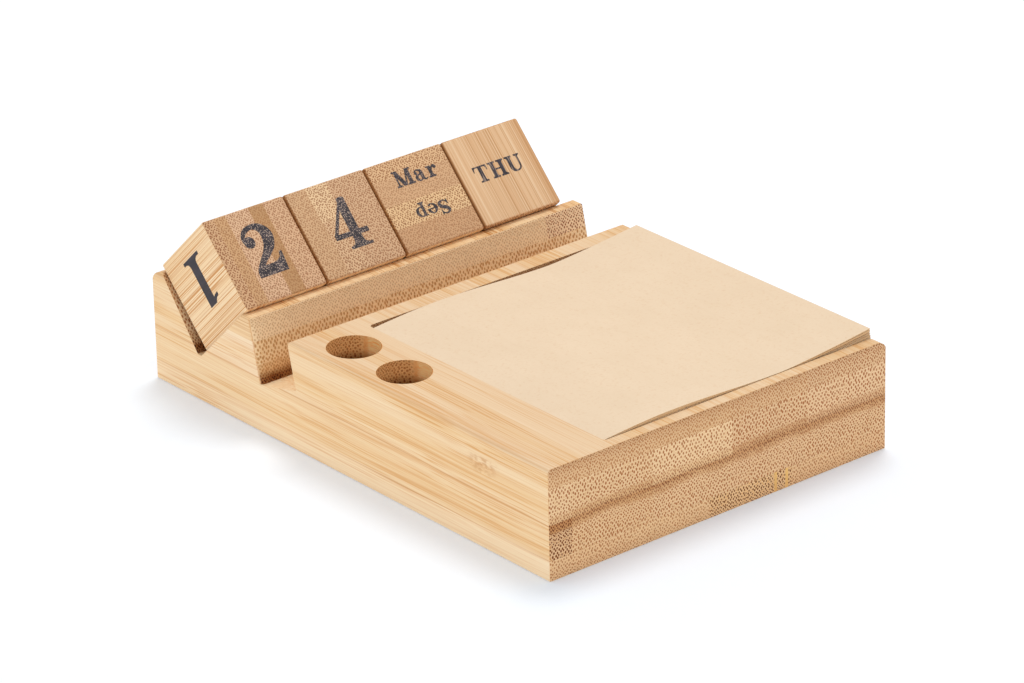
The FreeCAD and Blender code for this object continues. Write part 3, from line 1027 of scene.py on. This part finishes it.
# %% Ink
def ink(name, fibre, across, deep, cut_gaps, sawn_gaps):
    """Dark ink. The gaps are how much wood shows through, on cut faces and sawn faces."""
    film = Finish(name)
    place = film.node("TexCoord", output="Object")
    facing = film.node("TexCoord", output="Normal")
    cut = abs(facing.along(fibre)).ease(0.2, 0.6)
    a, b, c = (place.along(Vector(axis) / MM) for axis in (across, deep, fibre))
    grain = film.noise(film.vector(a * 3.4, b * 3.4, c * 0.35), 1.0)
    patches = film.noise(film.vector(a * 0.5, b * 0.5, c * 0.2), 1.0)
    gaps = (grain + (patches - 0.5) * 0.2).ease(0.56, 0.63)
    colour = film.mix(patches.ease(0.3, 0.7), paint(36, 29, 36), paint(52, 43, 52))
    shown = gaps * (cut * (cut_gaps - sawn_gaps) + sawn_gaps)
    colour = film.mix(shown, colour, paint(208, 184, 166))
    return film.surface(Base_Color=colour, Roughness=0.6 + gaps * 0.2)


# %% What is printed where
x_axis = Vector(X)
cube_faces = {
    "front": (-into_cube, up_face),
    "back": (into_cube, up_face),
    "left": (-x_axis, up_face),
    "right": (x_axis, up_face),
    "top": (up_face, -into_cube),
    "bottom": (-up_face, into_cube),
}
date_cubes = {
    "tens_cube": {"front": "2", "left": "1", "right": "6", "top": "0", "back": "7", "bottom": "8"},
    "units_cube": {"front": "4", "left": "0", "right": "3", "top": "5", "back": "1", "bottom": "2"},
    "month_cube": {
        "front": "Mar Sep", "left": "Jan Jul", "right": "Feb Aug",
        "top": "Apr Oct", "back": "May Nov", "bottom": "Jun Dec",
    },
    "weekday_cube": {
        "front": "THU", "left": "MON", "right": "TUE",
        "top": "FRI", "back": "WED", "bottom": "SAT SUN",
    },
}
print(sum(len(faces) for faces in date_cubes.values()), "faces to print")

# %% Print the four cubes
digit_high, word_high, turned_high = 12.15, 3.95, 3.35
# The middle of a print's foot, from the middle of its face. Prints are a little off centre.
digit_feet = {
    "tens_cube front": (0.0, -5.27), "tens_cube left": (-0.44, -7.28),
    "units_cube front": (0.5, -5.8),
}
inks = {
    "tens_cube": ink("ink_tens_cube", into_cube, X, up_face, 0.75, 0.04),
    "units_cube": ink("ink_units_cube", into_cube, X, up_face, 0.8, 0.04),
    "month_cube": ink("ink_month_cube", into_cube, X, up_face, 0.42, 0.04),
    "weekday_cube": ink("ink_weekday_cube", up_face, X, into_cube, 0.42, 0.42),
}


def words_on(cube, face, text):
    """The parts of everything on one face, from its middle."""
    if text.isdigit():
        parts = set_word(text, digit_high, digit_feet.get(f"{cube} {face}", (0.0, -6.0)))
        return turn_over(parts) if (cube, face) == ("tens_cube", "left") else parts
    words = text.split()
    if len(words) == 1:
        return set_word(text, word_high, (-0.2, -0.97), 12.0, 1.05)
    upright = set_word(words[0], word_high, (0.9, 4.0), widen=1.07)
    return upright + turn_over(set_word(words[1], turned_high, (-0.7, 1.65), widen=1.08))


for cube, faces_of in date_cubes.items():
    centre = cube_middle(cube)
    vertices, faces = [], []
    for face, text in faces_of.items():
        normal, up = cube_faces[face]
        middle = centre + normal * (cube_edge / 2 * MM)
        print_face(vertices, faces, words_on(cube, face, text), middle, normal, up)
    mesh = bpy.data.meshes.new(cube + "_print")
    mesh.from_pydata(vertices, [], faces)
    mesh.validate()
    piece(cube + "_print", mesh, cube, inks[cube])
    print(cube, "is printed with", " ".join(faces_of.values()), "in", len(faces), "faces")

# %% [markdown]
# ## Studio
#
# A product like this is shot in a light tent: even light from everywhere, a little
# more of it from above, and a white floor that only keeps a soft shadow. A strong
# lamp would carve the block more, but it would burn out the pale wood. The floor and
# the world are white to the camera, and give a plain level of light to the wood.

# %% A white tent
def seen_directly(finish):
    """1 for rays from the camera, gloss and glass, and 0 for the rays that light things."""
    rays = finish.node("LightPath", output="Is Camera Ray")
    return rays.most(rays.other("Is Glossy Ray")).most(rays.other("Is Transmission Ray"))


class WorldFinish(Finish):
    """The world's own nodes, built from the same wires."""

    def __init__(self, world):
        self.material = world
        world.use_nodes = True
        self.tree = world.node_tree
        self.shader = self.tree.nodes["Background"]


tent_level = 0.78                   # how much light the tent gives, where 1 looks white
world = bpy.data.worlds.new("studio")
bpy.context.scene.world = world
tent = WorldFinish(world)
tent.surface(Color=(1, 1, 1, 1), Strength=seen_directly(tent) * (1 - tent_level) + tent_level)
print("the tent's level is", tent_level)

# %% Floor
floor_mesh = bpy.data.meshes.new("floor")
half = 3.0                          # half the floor's side, in metres
floor_mesh.from_pydata(
    [(-half, -half, 0), (half, -half, 0), (half, half, 0), (-half, half, 0)], [], [(0, 1, 2, 3)]
)
floor = bpy.data.objects.new("floor", floor_mesh)
floor.location.z = -0.2 * MM       # just under the block, so the two faces don't mix
bpy.context.scene.collection.objects.link(floor)
table = Finish("floor")
table.surface(
    Base_Color=paint(249, 249, 249), Roughness=0.9, Specular_IOR_Level=0.0, Emission_Strength=1.0,
    Emission_Color=table.mix(seen_directly(table), (0.2, 0.2, 0.2, 1), (0.015, 0.075, 0.14, 1)),
)
floor_mesh.materials.append(table.material)
print("the floor is", 2 * half, "m wide")

# %% Key light
key_data = bpy.data.lights.new("key", "AREA")
key_data.shape, key_data.size, key_data.energy = "DISK", 0.7, 8.7
key = bpy.data.objects.new("key", key_data)
key.location = (0.45, 0.3, 1.57)
key.rotation_euler = (Vector((0, 0, 0)) - key.location).to_track_quat("-Z", "Y").to_euler()
bpy.context.scene.collection.objects.link(key)
bpy.context.scene.view_settings.view_transform = "Standard"
print("the key light stands", round(key.location.length, 2), "m away")
